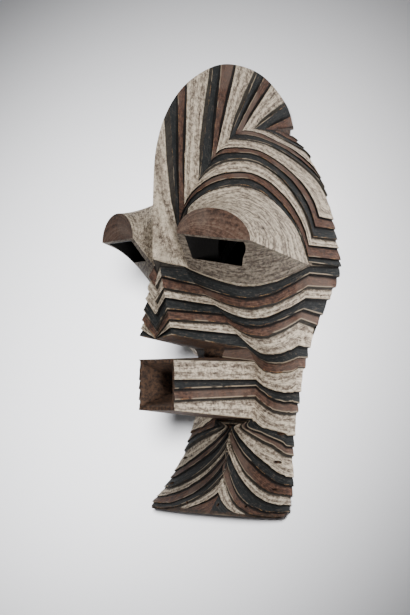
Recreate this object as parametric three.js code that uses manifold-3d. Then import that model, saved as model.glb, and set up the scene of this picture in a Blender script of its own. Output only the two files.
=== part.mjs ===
// Songye kifwebe mask, carved from one block, in millimetres.
// The face is worked out standing: u across, v up the face, w back from the nose.
// It is then laid down on its back rim, face up, with the crown toward +Y.
import * as THREE from 'three';
import { mergeVertices } from 'three/addons/utils/BufferGeometryUtils.js';
import Module from 'manifold-3d';

// Driving dimensions
const maskHeight = 569.5;        // height of the crest's top over the chin's bottom edge
const wallThickness = 13;        // shell between the carved face and the hollow
const bandRelief = 3;            // height of the lip along each carved band
const lipWidth = 1.8;            // how far the step of a lip runs across the band
const rimSlope = 0.247;          // how far the back rim leans back for each mm of height
const rimFoot = 129;             // depth of the rim's plane at the bottom edge
const chinFlare = 17;            // how far the bottom edge stands forward of that plane
const chinFlareHeight = 60;      // height over which the chin leaves the plane
const chinSkew = 0.0935;         // share by which the chin is broader on the left than drawn, and narrower right
const chinSkewHeight = 130;      // height over which that fades out
const templeAngle = 72;          // degrees round the head where the bands turn back
const noseTipWidth = 58;         // width of the nose across its lower end
const noseRootWidth = 14;        // width of the nose where it leaves the crest
const noseTop = 307;             // height of the nose root
const noseBottom = 219;          // height of the nose's underside
const noseChevron = 1.1;         // fall of the chevrons on the nose front, for each mm across
const noseTipDrop = 5;           // how far the nose's tip hangs under its lower corners
const noseTipShare = 0.9;        // share of the wood left there that the last chevrons take
const mouthWidth = 64;           // width of the mouth block at its front
const mouthTop = 190.7;          // height of the mouth block's top
const mouthBottom = 129.5;       // height of the mouth block's underside
const mouthFront = 3;            // depth of the mouth block's front edge
const mouthLip = 4;              // width of the flat edge round the mouth's funnel
const mouthFunnelDepth = 36;     // depth of the funnel in the mouth's front
const mouthHoleWidth = 22;       // width of the hole at the funnel's end
const mouthHoleHeight = 20;      // height of the hole at the funnel's end
const mouthWall = 11;            // wall of the mouth block round its hollow
const lipRecess = 84;            // depth of the groove between nose and mouth, on the middle line
const eyeInner = 38.5;           // nearest corner of an eye's visor to the middle line
const eyeOuter = 130;            // farthest corner of an eye's visor
const eyeVisorFront = -1;        // depth of the visor's inner corner
const eyeVisorSweep = 30;        // how much deeper the visor's outer corner lies
const eyeVisorSill = 339;        // height of the visor's straight lower edge
const eyeVisorHeight = 34;       // height of the visor's arc above that edge
const eyeSlotHeight = 25;        // height of the slot under the visor
const eyeSlotSlant = 33;         // how far the slot's outer end slants in and back on the lower lid
const eyeSlotInset = 9;          // distance from the visor's corners to the slot's ends
const eyeWall = 8;               // wall of the eye's tube round its hollow
const eyeVisorDropRight = 13;    // how much lower the right visor's outer corner hangs
const eyeVisorDropLeft = -3;     // the same on the left, which was carved level
const eyeSill = 2;               // edge of wood between the visor and the slot
const eyeSlotBack = 10;          // how far the slot's lower inner corner lies behind its upper one
const eyeSlotLean = 7;           // how far that corner leans toward the nose
const eyeSlotStart = -20;        // start of the slot's cut, before the visor's edge
const eyeRoomDepth = 128;        // depth to which the slot widens behind the eye
const eyeRoomOuter = 98;         // farthest the widened slot reaches across the face
const eyeRoomBelow = 40;         // how far it reaches under the visor's edge
const eyeRoomAbove = 22;         // how far it reaches over that edge
const lensInner = 5;             // angle round the head of the lens's inner corner
const eyeRootShift = -2;         // how far the tube's root draws in toward the middle
const eyeMargin = 3;             // bare bed between the eye's tube and the bands
const eyeWaist = 0.3;            // how far the tube has widened halfway back to the lens
const eyeRoot = 12;              // how far the tube is rooted in the shell
const eyeFacets = 8;             // facets along each side of an eye
const noseWall = 19;             // wall of the nose at the front of its hollow
const noseFrontWall = 26;        // depth at which the nose's hollow starts
const noseRoomFront = 30;        // height of that hollow at its front
const noseRoomBack = 50;         // height of that hollow at its back
const hollowReach = 160;         // depth to which the nose's and mouth's hollows run
const eyeBedDepth = 1.5;         // how far the bed round the eye lies under the bands
const hollowTop = 440;           // height of the hollow's upper end
const hollowSteps = 14;          // facets of the hollow up the face
const hollowFacets = 7;          // facets of the hollow round each half
const rimClearance = 4;          // how far cutting solids run past the rim
const tieHoleSize = 4;           // width of the holes for the costume's ties
const tieHolePlaces = [-48, 7, 52];
const tieHoleHeights = [33, 66, 100];
const tieHoleInset = 12;         // distance of the holes from the edge
const tieHoleFacets = 6;         // facets of a hole
const tieHoleClearance = 40;     // how far the cutting rod runs past the sides
const tipNotchDepth = 242;       // depth at which the notch behind the crest's tip ends
const tipNotchWidth = 60;        // width of the cut across the tip
const tipNotchLow = 489;         // height of the notch's lower side
const tipNotchHigh = 500.5;      // height of the notch's upper side

const lastCorner = 84;           // largest angle at which the facets of a band turn back
const arcSteps = 10;             // facets of a band from the middle line to the temple
const sideSteps = 2;             // facets of a band from the temple to the rim

// Guide lines of the form as they were drawn, as height and value pairs that a smooth curve joins
const drawnHalfWidths = [[0, 114], [9, 119.5], [20, 115], [45, 105.5], [75, 95.5], [105, 90], [160, 87],
  [200, 90], [235, 97.5], [265, 110], [290, 119.5], [307, 120.5], [328, 113], [375, 93], [416, 71], [448, 47],
  [466, 32.5], [483, 12], [503, 5]];
const drawnInnerDepths = [[0, 91], [28, 108], [65, 121], [104, 129], [125, 135], [187, 139], [211, 109],
  [233, 90], [257, 70], [277, 49], [303, 27], [313, 21], [346, 22], [371, 28], [394, 41], [424, 67],
  [462, 102], [480, 133], [489, 165], [494, 215]];
const drawnInnerOffsets = [[0, 0], [106, 0], [115, 28], [120, 36], [187, 34], [211, 44], [233, 38], [257, 32],
  [277, 25], [303, 18], [460, 17], [483, 11], [503, 4]];
const drawnHollowDepths = [[0, 106], [60, 132], [105, 144], [160, 150], [215, 140], [260, 105], [300, 60],
  [350, 48], [395, 66], [425, 95], [440, 120]];
// The edge of the crest, from its rear tip over the top and down to the nose, as depth and height
const drawnCrestEdge = [[252, 503], [237, 532], [196, 561], [149, 569.5], [103, 562], [52, 531.5],
  [18.5, 491], [1, 444], [-3.3, 394], [-4, 345], [-4, 307]];

// The drawn guides at the mask's own size
const guideScale = maskHeight / Math.max(...drawnCrestEdge.map((point) => point[1]));
const sized = (pairs) => pairs.map((pair) => pair.map((value) => value * guideScale));
const halfWidths = sized(drawnHalfWidths);
const innerDepths = sized(drawnInnerDepths);
const innerOffsets = sized(drawnInnerOffsets);
const hollowDepths = sized(drawnHollowDepths);
const crestEdge = sized(drawnCrestEdge);

// Band limits above the eye, from the rear of the crest to the eye. Each one leaves the crest's edge
// (counted in its listed points), meets the valley beside the crest, arches to its peak, falls to the
// angle where it turns at the temple, and runs back to the rim.
const drawnCrownLimits = [
  { edge: 0, valley: 493, peak: 493, turn: 90, temple: 484, rim: 484 },
  { edge: 0.48, valley: 491.5, peak: 491.5, turn: 90, temple: 472, rim: 472 },
  { edge: 1.0, valley: 489, peak: 489.5, turn: 90, temple: 458, rim: 458 },
  { edge: 1.72, valley: 483, peak: 485, turn: 90, temple: 427, rim: 427 },
  { edge: 2.05, valley: 476, peak: 478, turn: 90, temple: 414, rim: 414 },
  { edge: 2.35, valley: 469, peak: 470.5, turn: 90, temple: 403, rim: 403 },
  { edge: 3.17, valley: 447, peak: 457.5, turn: 82, temple: 371, rim: 369 },
  { edge: 3.78, valley: 437, peak: 450, turn: 79, temple: 357, rim: 356 },
  { edge: 4.1, valley: 413, peak: 441, turn: 77, temple: 343, rim: 342 },
  { edge: 4.97, valley: 378, peak: 423, turn: 74, temple: 332, rim: 331 },
  { edge: 5.38, valley: 357, peak: 413.5, turn: 72.5, temple: 317, rim: 316 },
  { edge: 5.85, valley: 338, peak: 404.5, turn: 72, temple: 309, rim: 307 },
];
const peakAngle = 40;            // degrees round the head where those limits arch highest
// Band limits below the eye. Each one starts at its front height on the middle feature (nose edge,
// lip groove, mouth block or chin ridge), meets the cheek at its foot, falls to its low, with a
// steepness, and rises to the temple and the rim.
const drawnFaceLimits = [
  { front: 304, foot: 303, low: 278, lowAngle: 35, steep: 1.6, temple: 305, rim: 306 },
  { front: 290, foot: 282, low: 264, lowAngle: 33, steep: 1.7, temple: 296, rim: 294 },
  { front: 276, foot: 269, low: 254, lowAngle: 31, steep: 1.9, temple: 280, rim: 281 },
  { front: 264, foot: 257, low: 240.5, lowAngle: 33, steep: 2.3, temple: 266, rim: 266 },
  { front: 250, foot: 247, low: 231.5, lowAngle: 30, steep: 2.6, temple: 253, rim: 247 },
  { front: 238, foot: 236, low: 219.5, lowAngle: 30, steep: 2.5, temple: 241, rim: 234 },
  { front: 228, foot: 222, low: 198, lowAngle: 30, steep: 3, temple: 209, rim: 206 },
  { front: 205, foot: 205, low: 187, lowAngle: 34, steep: 3, temple: 194, rim: 194 },
  { front: 190.7, foot: 190, low: 175, lowAngle: 38, steep: 2.8, temple: 181, rim: 181 },
  { front: 166, foot: 167, low: 151, lowAngle: 50, steep: 2, temple: 152, rim: 152 },
  { front: 155, foot: 159, low: 139, lowAngle: 56, steep: 2, temple: 139, rim: 138 },
  { front: 142, foot: 146, low: 126, lowAngle: 60, steep: 2, temple: 126, rim: 127 },
  { front: 117, foot: 118, low: 98, lowAngle: 71, steep: 1, temple: 98, rim: 98 },
  { front: 114, foot: 116, low: 86, lowAngle: 71, steep: 1, temple: 86, rim: 85 },
  { front: 111, foot: 114, low: 76, lowAngle: 71, steep: 1.1, temple: 76, rim: 74 },
  { front: 107, foot: 111, low: 49, lowAngle: 71, steep: 1.5, temple: 49, rim: 48 },
  { front: 102, foot: 107, low: 40, lowAngle: 71, steep: 1.9, temple: 40, rim: 39 },
  { front: 89, foot: 99, low: 28, lowAngle: 71, steep: 2.6, temple: 28, rim: 27 },
  { front: 68, foot: 86, low: 16.5, lowAngle: 71, steep: 2.8, temple: 16.5, rim: 16 },
  { front: 52, foot: 76, low: 8, lowAngle: 71, steep: 4, temple: 8, rim: 8 },
  { front: 34, foot: 54, low: 2.4, lowAngle: 71, steep: 4.2, temple: 2.4, rim: 2.4 },
  { front: 20, foot: 28.5, low: 1, lowAngle: 71, steep: 5.4, temple: 1, rim: 1 },
];
const limitHeights = ['front', 'foot', 'low', 'valley', 'peak', 'temple', 'rim'];
const sizedLimit = (limit) => Object.fromEntries(Object.entries(limit).map(([key, value]) => {
  return [key, limitHeights.includes(key) ? value * guideScale : value];
}));
const crownLimits = drawnCrownLimits.map(sizedLimit);
const faceLimits = drawnFaceLimits.map(sizedLimit);
const bottomLimit = { front: 1, foot: 1, low: 0, lowAngle: 71, steep: 1, temple: 0, rim: 0 };
const bedRows = 5;               // facets of the crest's front edge beside the eyes
const noseRootPlace = 9.9;       // place on the crest's edge where the nose takes over
const meanBandWidth = 16;        // usual width of a band, which shares out the steps
const lipGrooveFloor = 194;      // height at which the groove between nose and mouth ends
const firstLipBand = 7;          // the band that starts in the groove between nose and mouth
const firstMouthBand = 8;        // the band that starts along the top of the mouth block
const firstChinBand = 12;        // the band that starts under the mouth block
faceLimits[firstMouthBand].front = mouthTop;

// Smooth curve through pairs of place and value
function through(pairs, place) {
  const last = pairs.length - 1;
  if (place <= pairs[0][0]) return pairs[0][1];
  if (place >= pairs[last][0]) return pairs[last][1];
  let i = 0;
  while (place > pairs[i + 1][0]) i += 1;
  const slope = (k) => {
    const low = pairs[Math.max(k - 1, 0)];
    const high = pairs[Math.min(k + 1, last)];
    return (high[1] - low[1]) / (high[0] - low[0]);
  };
  const span = pairs[i + 1][0] - pairs[i][0];
  const t = (place - pairs[i][0]) / span;
  const start = (1 + 2 * t) * (1 - t) ** 2 * pairs[i][1] + t * (1 - t) ** 2 * span * slope(i);
  return start + t * t * (3 - 2 * t) * pairs[i + 1][1] + t * t * (t - 1) * span * slope(i + 1);
}

// Point of the crest's edge, counted in its listed points
function crestPoint(place) {
  const depth = through(crestEdge.map((point, i) => [i, point[0]]), place);
  const height = through(crestEdge.map((point, i) => [i, point[1]]), place);
  return new THREE.Vector3(0, depth, height);
}

// Depth of the back rim at a height: a plane to lie on, left only by the flaring chin
function rimDepth(height) {
  const lift = Math.max(0, 1 - height / chinFlareHeight);
  return rimFoot + rimSlope * height - chinFlare * lift * lift;
}

// Point of the head's form, by the angle round it from the middle features to the rim
function headPoint(degrees, height) {
  const angle = THREE.MathUtils.degToRad(degrees);
  const inner = through(innerOffsets, height);
  const depth = Math.min(through(innerDepths, height), rimDepth(height) - 1);
  const x = inner + (through(halfWidths, height) - inner) * Math.sin(angle);
  const y = depth + (rimDepth(height) - depth) * (1 - Math.cos(angle));
  return new THREE.Vector3(x, y, height);
}

// Height of a band limit above the eye at an angle round the head
function crownHeight(limit, degrees) {
  if (degrees >= limit.turn) {
    return THREE.MathUtils.mapLinear(degrees, limit.turn, 90.001, limit.temple, limit.rim);
  }
  if (degrees < peakAngle) {
    return limit.valley + (limit.peak - limit.valley) * Math.sqrt(1 - (1 - degrees / peakAngle) ** 2);
  }
  const share = (degrees - peakAngle) / (limit.turn - peakAngle);
  return limit.temple + (limit.peak - limit.temple) * Math.sqrt(1 - share * share);
}

// Height of a band limit below the eye at an angle round the head
function faceHeight(limit, degrees) {
  if (degrees >= templeAngle) {
    return THREE.MathUtils.mapLinear(degrees, templeAngle, 90, limit.temple, limit.rim);
  }
  if (degrees < limit.lowAngle) {
    return limit.low + (limit.foot - limit.low) * (1 - degrees / limit.lowAngle) ** limit.steep;
  }
  const share = (degrees - limit.lowAngle) / (templeAngle - limit.lowAngle);
  return limit.low + (limit.temple - limit.low) * share * share;
}

// The stretch of a band limit that lies on the head, with its facets closest near both ends
function headPath(height, turn) {
  const path = [];
  const corner = Math.min(turn, lastCorner);
  for (let i = 0; i <= arcSteps; i += 1) {
    const share = i / arcSteps;
    const eased = 0.4 * share + 0.6 * (1 - Math.cos(Math.PI * share)) / 2;
    path.push(headPoint(corner * eased, height(corner * eased)));
  }
  for (let i = 1; i <= sideSteps; i += 1) {
    const degrees = corner + (90 - corner) * i / sideSteps;
    path.push(headPoint(degrees, height(degrees)));
  }
  return path;
}

function crownHeadPath(limit) {
  return headPath((degrees) => crownHeight(limit, degrees), limit.turn);
}

function faceHeadPath(limit) {
  return headPath((degrees) => faceHeight(limit, degrees), templeAngle);
}

// Side of the crest, from a place on its edge to the start of a path round the head
function withCrestSide(place, head) {
  const edge = crestPoint(place);
  return [edge, edge.clone().lerp(head[0], 1 / 3), edge.clone().lerp(head[0], 2 / 3), ...head];
}

// Half width of the nose at a height
function noseHalfWidth(height) {
  const share = (noseTop - height) / (noseTop - noseBottom);
  return THREE.MathUtils.lerp(noseRootWidth, noseTipWidth, share) / 2;
}

// Front of a band limit on each of the middle features, from the middle line outward
function nosePath(front) {
  const half = noseHalfWidth(front);
  const room = noseTipShare * (front - noseBottom + noseTipDrop);
  const drop = Math.min(noseChevron * half, room);
  return [new THREE.Vector3(0, 0, front - drop), new THREE.Vector3(half, 0, front)];
}

function lipPath(front, foot) {
  return [new THREE.Vector3(0, lipRecess, front), new THREE.Vector3(foot.x * 0.6, lipRecess + 10, front)];
}

function mouthPath(front) {
  return [new THREE.Vector3(0, mouthFront, front), new THREE.Vector3(mouthWidth / 2, mouthFront, front)];
}

function chinPath(foot) {
  const start = new THREE.Vector3(0, foot.y, foot.z);
  return [start, start.clone().lerp(foot, 1 / 3)];
}

// Whole band limit below the eye, on the feature that carries it
function facePath(limit, feature) {
  const head = faceHeadPath(limit);
  const foot = head[0];
  let front = chinPath(foot);
  if (feature === 'nose') front = nosePath(limit.front);
  if (feature === 'lip') front = lipPath(limit.front, foot);
  if (feature === 'mouth') front = mouthPath(limit.front);
  const middle = front[1].clone().lerp(foot, 0.5);
  return [front[0], front[1], middle, ...head];
}

// Directions in which the bands' steps are cut, for the points of a limit on each feature
const inward = {
  crown: [[0, 0, 0], [-1, 0, 0], [-1, 0, 0]],
  nose: [[0, 1, 0], [-0.7, 0.7, 0], [-1, 0, 0]],
  lip: [[0, 0, 0], [0, 0, 0], [0, 0, 0]],
  mouth: [[0, 0, 0], [-0.7, 0, 0], [-0.7, 0, 0]],
  chin: [[0, 1, 0], [0, 1, 0], [0, 1, 0]],
};

// A band limit cut into the wood by a depth
function sunken(path, feature, depth) {
  return path.map((point, i) => {
    const ways = inward[feature];
    if (i < ways.length) return point.clone().addScaledVector(new THREE.Vector3(...ways[i]), depth);
    const core = new THREE.Vector3(0, rimDepth(point.z), point.z);
    return point.clone().addScaledVector(core.sub(point).normalize(), depth);
  });
}

// Limit at a share of the way from one listed limit to the next
function between(from, to, share) {
  const mixed = {};
  for (const key of Object.keys(from)) mixed[key] = THREE.MathUtils.lerp(from[key], to[key], share);
  return mixed;
}

// Feature that carries the start of a band below the eye, and the one that carries its end
function bandFeature(band) {
  if (band < firstLipBand) return 'nose';
  if (band < firstMouthBand) return 'lip';
  if (band < firstChinBand) return 'mouth';
  return 'chin';
}

// Rows of the carved skin from the crest's rear tip to the chin: each band starts sunk under the
// lip of the one before it and rises to its own lip
function skinRows() {
  const rows = [];
  const startShare = lipWidth / meanBandWidth;
  crownLimits.slice(0, -1).forEach((limit, band) => {
    const next = crownLimits[band + 1];
    const start = between(limit, next, band ? startShare : 0);
    rows.push(sunken(withCrestSide(start.edge, crownHeadPath(start)), 'crown', bandRelief));
    rows.push(withCrestSide(next.edge, crownHeadPath(next)));
  });
  const upper = crownLimits[crownLimits.length - 1];
  const lower = faceHeadPath(faceLimits[0]);
  for (let i = 0; i <= bedRows; i += 1) {
    const share = startShare + (1 - startShare) * i / bedRows;
    const head = crownHeadPath(upper).map((point, k) => point.lerp(lower[k], share));
    const place = THREE.MathUtils.lerp(upper.edge, noseRootPlace, share);
    rows.push(sunken(withCrestSide(place, head), 'crown', bandRelief + eyeBedDepth));
  }
  faceLimits.forEach((limit, band) => {
    const feature = bandFeature(band);
    const next = { ...(faceLimits[band + 1] || bottomLimit) };
    if (band === firstLipBand - 1) next.front = noseBottom;
    if (band === firstLipBand) next.front = lipGrooveFloor;
    if (band === firstChinBand - 1) next.front = mouthBottom;
    const newFeature = band > 0 && bandFeature(band - 1) !== feature;
    const start = between(limit, next, newFeature ? 0 : startShare);
    rows.push(sunken(facePath(start, feature), feature, bandRelief));
    rows.push(facePath(next, feature));
  });
  return rows;
}

// Place across the face of a point of the skin or the hollow, with the chin's two sides made unequal
function skewed(x, height) {
  return x - Math.abs(x) * chinSkew * Math.max(0, 1 - height / chinSkewHeight);
}

// Closed solid between rows that run from the middle line outward: the mirrored other half and a
// back that joins the two rims
function solidFromRows(rows) {
  const positions = [];
  const triangle = (a, b, c) => [a, b, c].forEach((p) => positions.push(skewed(p.x, p.z), p.y, p.z));
  const flip = (p) => new THREE.Vector3(-p.x, p.y, p.z);
  const middle = (p) => new THREE.Vector3(0, p.y, p.z);
  const both = (a, b, c) => {
    triangle(a, b, c);
    triangle(flip(a), flip(c), flip(b));
  };
  const count = rows[0].length;
  for (let r = 0; r < rows.length - 1; r += 1) {
    for (let i = 0; i < count - 1; i += 1) {
      both(rows[r][i], rows[r + 1][i], rows[r + 1][i + 1]);
      both(rows[r][i], rows[r + 1][i + 1], rows[r][i + 1]);
    }
    const high = rows[r][count - 1];
    const low = rows[r + 1][count - 1];
    both(high, low, middle(low));
    both(high, middle(low), middle(high));
  }
  const top = rows[0];
  const bottom = rows[rows.length - 1];
  for (let i = 0; i < count - 1; i += 1) {
    both(top[i], top[i + 1], middle(top[count - 1]));
    both(bottom[i], middle(bottom[count - 1]), bottom[i + 1]);
  }
  return new THREE.BufferGeometry().setAttribute('position', new THREE.Float32BufferAttribute(positions, 3));
}

// A closed geometry as a solid for joining and cutting
const wasm = await Module();
wasm.setup();

function solidOf(geometry) {
  const clean = geometry.clone();
  clean.deleteAttribute('normal');
  clean.deleteAttribute('uv');
  const merged = mergeVertices(clean, 1e-3);
  const vertProperties = new Float32Array(merged.attributes.position.array);
  const triVerts = new Uint32Array(merged.index.array);
  return new wasm.Manifold(new wasm.Mesh({ numProp: 3, vertProperties, triVerts }));
}

// Solid through outlines of as many points, each listed anticlockwise as seen from in front
function loft(rings) {
  const positions = [];
  const triangle = (a, b, c) => [a, b, c].forEach((p) => positions.push(p.x, p.y, p.z));
  const count = rings[0].length;
  for (let r = 0; r < rings.length - 1; r += 1) {
    for (let i = 0; i < count; i += 1) {
      const j = (i + 1) % count;
      triangle(rings[r][i], rings[r + 1][i], rings[r + 1][j]);
      triangle(rings[r][i], rings[r + 1][j], rings[r][j]);
    }
  }
  const front = rings[0];
  const back = rings[rings.length - 1];
  for (let i = 1; i < count - 1; i += 1) {
    triangle(front[0], front[i], front[i + 1]);
    triangle(back[0], back[i + 1], back[i]);
  }
  return new THREE.BufferGeometry().setAttribute('position', new THREE.Float32BufferAttribute(positions, 3));
}

// Four corners of an upright rectangle, in the order that loft needs
function frame(left, right, low, high, depth) {
  return [
    new THREE.Vector3(left, depth, low),
    new THREE.Vector3(right, depth, low),
    new THREE.Vector3(right, depth, high),
    new THREE.Vector3(left, depth, high),
  ];
}

// The hollow behind the face, a plain bowl that keeps the wall's thickness
function hollow() {
  const rows = [];
  for (let i = 0; i <= hollowSteps; i += 1) {
    const height = THREE.MathUtils.lerp(hollowTop, wallThickness, i / hollowSteps);
    const row = [];
    const back = rimDepth(height);
    const front = Math.min(through(hollowDepths, height), back - 2);
    const half = through(halfWidths, height) - wallThickness;
    for (let k = 0; k <= hollowFacets; k += 1) {
      const angle = Math.PI / 2 * k / hollowFacets;
      const depth = front + (back - front) * (1 - Math.cos(angle));
      row.push(new THREE.Vector3(half * Math.sin(angle), depth, height));
    }
    const past = row[row.length - 1].clone();
    past.y += rimClearance;
    row.push(past);
    rows.push(row);
  }
  return solidFromRows(rows);
}

// Depth and height of a visor's straight lower edge, at a place across the face
function sillPoint(x, drop) {
  const share = (x - eyeInner) / (eyeOuter - eyeInner);
  return new THREE.Vector3(x, eyeVisorFront + eyeVisorSweep * share, eyeVisorSill - drop * share);
}

// The right eye: a half tube that comes forward from the carved lens to a D-shaped visor
function eye(drop) {
  const visor = [];
  const lens = [];
  const lower = faceLimits[0];
  const upper = crownLimits[crownLimits.length - 1];
  for (let i = 0; i <= eyeFacets; i += 1) {
    const share = i / eyeFacets;
    visor.push(sillPoint(THREE.MathUtils.lerp(eyeInner, eyeOuter, share), drop));
    const degrees = THREE.MathUtils.lerp(lensInner, templeAngle - 1, share);
    lens.push(headPoint(degrees, faceHeight(lower, degrees) + eyeMargin));
  }
  for (let i = 1; i < eyeFacets; i += 1) {
    const share = 1 - i / eyeFacets;
    const turn = Math.PI * i / eyeFacets;
    const across = (eyeInner + eyeOuter) / 2 + (eyeOuter - eyeInner) / 2 * Math.cos(turn);
    const point = sillPoint(across, drop);
    point.z += eyeVisorHeight * Math.sin(turn);
    visor.push(point);
    const degrees = THREE.MathUtils.lerp(lensInner, templeAngle - 1, share);
    lens.push(headPoint(degrees, crownHeight(upper, degrees) - eyeMargin));
  }
  const waist = visor.map((point, i) => {
    const above = i > eyeFacets;
    const mixed = point.clone().lerp(lens[i], above ? eyeWaist : 0.5);
    mixed.y = THREE.MathUtils.lerp(point.y, lens[i].y, 0.5);
    return mixed;
  });
  const root = lens.map((point) => point.clone().add(new THREE.Vector3(eyeRootShift, eyeRoot, 0)));
  return loft([visor, waist, lens, root]);
}

// The slot under a visor: it follows the lower lid, which slants back, and widens into the hollow
function eyeSlot(drop) {
  const topLeft = sillPoint(eyeInner + eyeSlotInset, drop);
  const topRight = sillPoint(eyeOuter - eyeSlotInset, drop);
  const lowLeft = topLeft.clone().add(new THREE.Vector3(-eyeSlotLean, eyeSlotBack, -eyeSlotHeight));
  const lowRight = topRight.clone().add(new THREE.Vector3(-eyeSlotSlant, eyeSlotSlant, -eyeSlotHeight));
  const straight = new THREE.Vector3(0, 1, 0);
  const slanted = new THREE.Vector3(-0.6, 0.8, 0);
  const ring = (distance) => [
    lowLeft.clone().addScaledVector(straight, distance),
    lowRight.clone().addScaledVector(slanted, distance),
    topRight.clone().addScaledVector(slanted, distance),
    topLeft.clone().addScaledVector(straight, distance),
  ].map((point) => point.setZ(point.z - eyeSill));
  const inside = frame(eyeInner + eyeWall, eyeRoomOuter, eyeVisorSill - eyeRoomBelow,
    eyeVisorSill + eyeRoomAbove, eyeRoomDepth);
  return loft([ring(eyeSlotStart), ring(eyeWall), inside]);
}

// The mouth's funnel, the hole at its end and the hollow behind it
function mouthCuts() {
  const half = mouthWidth / 2;
  const center = (mouthTop + mouthBottom) / 2;
  const depth = mouthFront + mouthFunnelDepth;
  const hole = (at) => frame(-mouthHoleWidth / 2, mouthHoleWidth / 2,
    center - mouthHoleHeight / 2, center + mouthHoleHeight / 2, at);
  const funnel = loft([
    frame(-half + mouthLip, half - mouthLip, mouthBottom + mouthLip, mouthTop - mouthLip, mouthFront - 1),
    hole(depth),
    hole(depth + 2 * mouthWall),
  ]);
  const walls = [-half + mouthWall, half - mouthWall, mouthBottom + mouthWall, mouthTop - mouthWall];
  const room = loft([frame(...walls, depth + mouthWall), frame(...walls, hollowReach)]);
  return solidOf(funnel).add(solidOf(room));
}

// The hollow inside the nose
function noseCut() {
  const floor = noseBottom + wallThickness;
  const half = noseTipWidth / 2;
  return solidOf(loft([
    frame(-half + noseWall, half - noseWall, floor, floor + noseRoomFront, noseFrontWall),
    frame(-half, half, floor, floor + noseRoomBack, hollowReach),
  ]));
}

// The notch under the crest's rear tip
function tipNotch() {
  const half = tipNotchWidth / 2;
  const far = tipNotchDepth + tipNotchWidth;
  return solidOf(loft([
    frame(-half, half, tipNotchLow, tipNotchHigh, tipNotchDepth),
    frame(-half, half, tipNotchLow, tipNotchHigh, far),
  ]));
}

// Holes along the edge that the costume is tied to
function tieHoles() {
  const holes = [];
  const length = 4 * wallThickness;
  for (const x of tieHolePlaces) {
    const drill = new THREE.CylinderGeometry(tieHoleSize / 2, tieHoleSize / 2, length, tieHoleFacets);
    drill.translate(x, rimDepth(tieHoleInset) - length / 4, tieHoleInset);
    holes.push(solidOf(drill));
  }
  for (const z of tieHoleHeights) {
    const span = 2 * through(halfWidths, z) + tieHoleClearance;
    const drill = new THREE.CylinderGeometry(tieHoleSize / 2, tieHoleSize / 2, span, tieHoleFacets);
    drill.rotateZ(Math.PI / 2);
    drill.translate(0, rimDepth(z) - tieHoleInset, z);
    holes.push(solidOf(drill));
  }
  return holes;
}

// The same geometry on the other side of the middle line
function mirrored(geometry) {
  const points = geometry.attributes.position;
  const flipped = [];
  for (let i = 0; i < points.count; i += 3) {
    for (const k of [i, i + 2, i + 1]) flipped.push(-points.getX(k), points.getY(k), points.getZ(k));
  }
  return new THREE.BufferGeometry().setAttribute('position', new THREE.Float32BufferAttribute(flipped, 3));
}

let shell = solidOf(solidFromRows(skinRows()));
shell = shell.add(solidOf(eye(eyeVisorDropRight)));
shell = shell.add(solidOf(mirrored(eye(eyeVisorDropLeft))));
shell = shell.subtract(solidOf(hollow()));
shell = shell.subtract(solidOf(eyeSlot(eyeVisorDropRight)));
shell = shell.subtract(solidOf(mirrored(eyeSlot(eyeVisorDropLeft))));
shell = shell.subtract(mouthCuts());
shell = shell.subtract(noseCut());
shell = shell.subtract(tipNotch());
for (const hole of tieHoles()) shell = shell.subtract(hole);

function geometryOf(solid) {
  const mesh = solid.getMesh();
  const geometry = new THREE.BufferGeometry();
  const points = new Float32Array(mesh.numProp === 3 ? mesh.vertProperties : []);
  geometry.setAttribute('position', new THREE.BufferAttribute(points, 3));
  geometry.setIndex(new THREE.BufferAttribute(new Uint32Array(mesh.triVerts), 1));
  return geometry;
}

const wood = new THREE.MeshStandardMaterial({ color: 0x8a7a68, roughness: 0.8, metalness: 0 });
const mask = new THREE.Mesh(geometryOf(shell), wood);
mask.name = 'mask';

// Laid on its back rim, centred over the floor
const lean = Math.atan(rimSlope);
mask.rotation.x = -(Math.PI / 2 - lean);
mask.updateMatrixWorld(true);
const box = new THREE.Box3().setFromObject(mask, true);
const center = box.getCenter(new THREE.Vector3());
mask.position.set(-center.x, -center.y, -box.min.z);

const group = new THREE.Group();
group.add(mask);
export default group;
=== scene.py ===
"""Songye kifwebe mask, carved from one block of wood and painted, lying on its back rim.

The face is worked out standing, in millimetres: x across, y back from the nose, z up the face.
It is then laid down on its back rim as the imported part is, in metres.
"""
import math

import bmesh
import bpy
from mathutils import Matrix, Vector, noise


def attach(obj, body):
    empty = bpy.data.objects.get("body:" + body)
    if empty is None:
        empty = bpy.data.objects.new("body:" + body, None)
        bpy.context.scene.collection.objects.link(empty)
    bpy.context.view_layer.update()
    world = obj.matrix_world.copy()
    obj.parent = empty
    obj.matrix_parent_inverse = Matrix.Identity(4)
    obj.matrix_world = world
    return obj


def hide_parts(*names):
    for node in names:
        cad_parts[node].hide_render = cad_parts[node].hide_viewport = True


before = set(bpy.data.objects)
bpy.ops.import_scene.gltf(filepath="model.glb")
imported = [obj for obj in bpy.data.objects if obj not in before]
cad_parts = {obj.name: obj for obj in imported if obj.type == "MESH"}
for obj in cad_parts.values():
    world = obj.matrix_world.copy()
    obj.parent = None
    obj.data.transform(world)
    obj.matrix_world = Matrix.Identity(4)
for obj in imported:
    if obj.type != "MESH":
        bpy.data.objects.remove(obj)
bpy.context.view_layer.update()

bl_info = {
    "name": "Kifwebe mask",
    "version": (1, 0, 0),
    "blender": (4, 5, 0),
    "location": "3D View > Sidebar > Mask",
    "description": "Carves and paints a striped wooden face mask and sets its studio",
    "category": "Object",
}

MM = 0.001

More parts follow.
